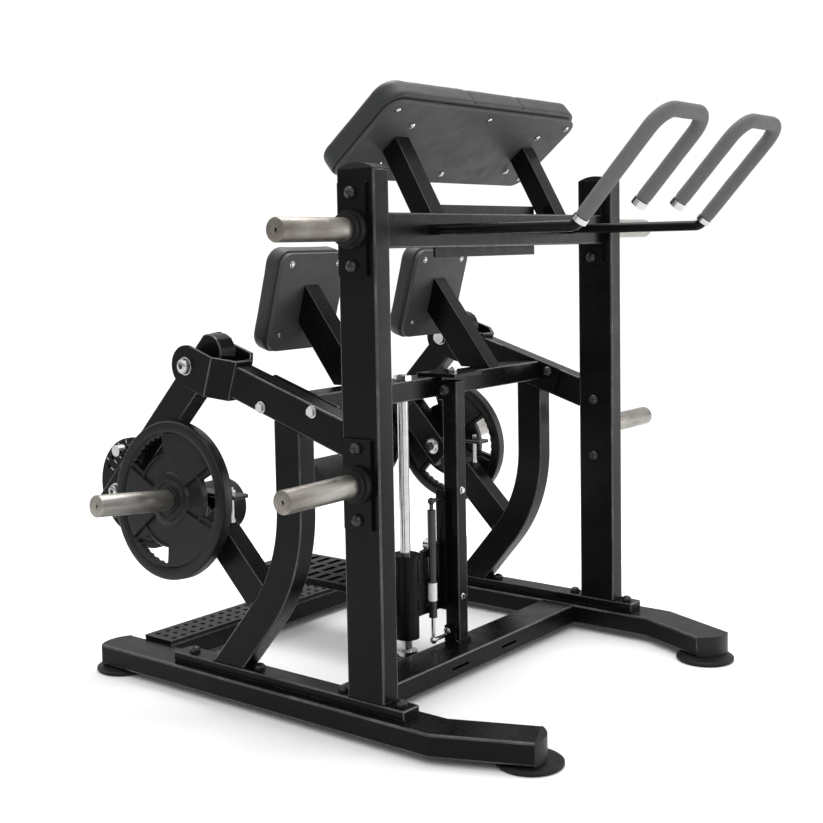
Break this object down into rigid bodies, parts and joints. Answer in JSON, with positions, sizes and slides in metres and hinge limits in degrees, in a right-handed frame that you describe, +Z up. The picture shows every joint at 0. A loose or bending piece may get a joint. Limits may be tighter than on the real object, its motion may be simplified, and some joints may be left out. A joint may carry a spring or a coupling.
{
  "type": "standing leg curl machine",
  "caption": "Plate-loaded standing leg curl machine: two pivoting levers with rollers, chest and thigh pads, handles and a sliding foot platform.",
  "frame": {"origin": "middle of the bounding box at floor level", "axes": "+X to the machine's left side, -Y the way the user faces, towards the handles, +Z up"},
  "size_m": [1.5702, 1.5129, 1.4213],
  "materials": {
    "frame_paint": "satin textured black powder coat",
    "black_rubber": "matte black moulded rubber",
    "plate_rubber": "satin black moulded rubber",
    "cap_plastic": "matte black moulded plastic",
    "pad_board": "dark grey moulded backing board",
    "vinyl": "black upholstery vinyl over foam",
    "grip_foam": "dark grey foam rubber sleeve",
    "chrome": "bright chrome plate",
    "horn_steel": "turned steel, slightly worn",
    "strut_paint": "gloss black cylinder"
  },
  "bodies": {
    "frame": {"right_rail": "frame_paint", "left_rail": "frame_paint", "tube_caps": "cap_plastic", "floor_feet": "black_rubber", "base_bars": "frame_paint", "cross_members": "frame_paint", "rear_tread_plate": "frame_paint", "right_post": "frame_paint", "left_post": "frame_paint", "curved_supports": "frame_paint", "stop_braces": "frame_paint", "pivot_beams": "frame_paint", "pivot_yokes": "frame_paint", "pivot_bolts": "chrome", "upper_crossbar": "frame_paint", "crossbar_back_plate": "frame_paint", "mid_crossbar": "frame_paint", "chest_pad_arms": "frame_paint", "chest_pad_board": "pad_board", "chest_pad_cushion": "vinyl", "thigh_pad_arms": "frame_paint", "thigh_pad_boards": "pad_board", "right_thigh_cushion": "vinyl", "left_thigh_cushion": "vinyl", "handle_bars": "frame_paint", "handle_grips": "grip_foam", "handle_trims": "chrome", "storage_plates": "frame_paint", "storage_collars": "black_rubber", "storage_horns": "horn_steel", "dome_bolts": "black_rubber", "chrome_bolts": "chrome", "pad_screws": "chrome", "guide_rod": "chrome", "guide_upright": "frame_paint", "strut_rod": "chrome"},
    "foot_platform": {"carriage_sleeve": "frame_paint", "carriage_frame": "frame_paint", "platform_arm": "frame_paint", "platform_tread": "frame_paint", "strut_cylinder": "strut_paint"},
    "platform_pin": {"platform_lock_pin": "chrome"},
    "right_lever": {"right_lever": "frame_paint", "right_weight_arm": "frame_paint", "right_load_horn": "horn_steel", "right_lever_bolts": "chrome"},
    "right_disc": {"right_index_disc": "frame_paint", "right_roller_axle": "chrome"},
    "right_roller": {"right_leg_roller": "grip_foam"},
    "right_pin": {"right_index_pin": "chrome"},
    "right_plate": {"right_weight_plate": "plate_rubber"},
    "left_lever": {"left_lever": "frame_paint", "left_weight_arm": "frame_paint", "left_load_horn": "horn_steel", "left_lever_bolts": "chrome"},
    "left_disc": {"left_index_disc": "frame_paint", "left_roller_axle": "chrome"},
    "left_roller": {"left_leg_roller": "grip_foam"},
    "left_pin": {"left_index_pin": "chrome"},
    "left_plate": {"left_weight_plate": "plate_rubber"}
  },
  "joints": [
    {"name": "platform_lift", "type": "slide", "parent": "frame", "child": "foot_platform", "axis": [0, 0, 1], "range_m": [0, 0.2]},
    {"name": "platform_pin_pull", "type": "slide", "parent": "foot_platform", "child": "platform_pin", "axis": [0, 1, 0], "range_m": [-0.01, 0.003]},
    {"name": "right_lever_curl", "type": "hinge", "parent": "frame", "child": "right_lever", "pos_m": [-0.495, 0.3204, 0.79], "axis": [1, 0, 0], "range_deg": [0, 100]},
    {"name": "right_disc_turn", "type": "hinge", "parent": "right_lever", "child": "right_disc", "pos_m": [-0.459, 0.63154, 0.46213], "axis": [1, 0, 0], "range_deg": [-60, 60]},
    {"name": "right_roller_spin", "type": "hinge", "parent": "right_disc", "child": "right_roller", "pos_m": [-0.3, 0.60904, 0.37189], "axis": [1, 0, 0], "continuous": true},
    {"name": "right_pin_pull", "type": "slide", "parent": "right_lever", "child": "right_pin", "axis": [-1, 0, 0], "range_m": [-0.01, 0.003]},
    {"name": "right_plate_slide", "type": "slide", "parent": "right_lever", "child": "right_plate", "axis": [-0.9951, 0, 0.0993], "range_m": [0, 0.2]},
    {"name": "left_lever_curl", "type": "hinge", "parent": "frame", "child": "left_lever", "pos_m": [0.495, 0.3204, 0.79], "axis": [1, 0, 0], "range_deg": [0, 100]},
    {"name": "left_disc_turn", "type": "hinge", "parent": "left_lever", "child": "left_disc", "pos_m": [0.459, 0.63154, 0.46213], "axis": [1, 0, 0], "range_deg": [-60, 60]},
    {"name": "left_roller_spin", "type": "hinge", "parent": "left_disc", "child": "left_roller", "pos_m": [0.3, 0.60904, 0.37189], "axis": [1, 0, 0], "continuous": true},
    {"name": "left_pin_pull", "type": "slide", "parent": "left_lever", "child": "left_pin", "axis": [1, 0, 0], "range_m": [-0.01, 0.003]},
    {"name": "left_plate_slide", "type": "slide", "parent": "left_lever", "child": "left_plate", "axis": [0.9951, 0, 0.0993], "range_m": [0, 0.2]}
  ]
}
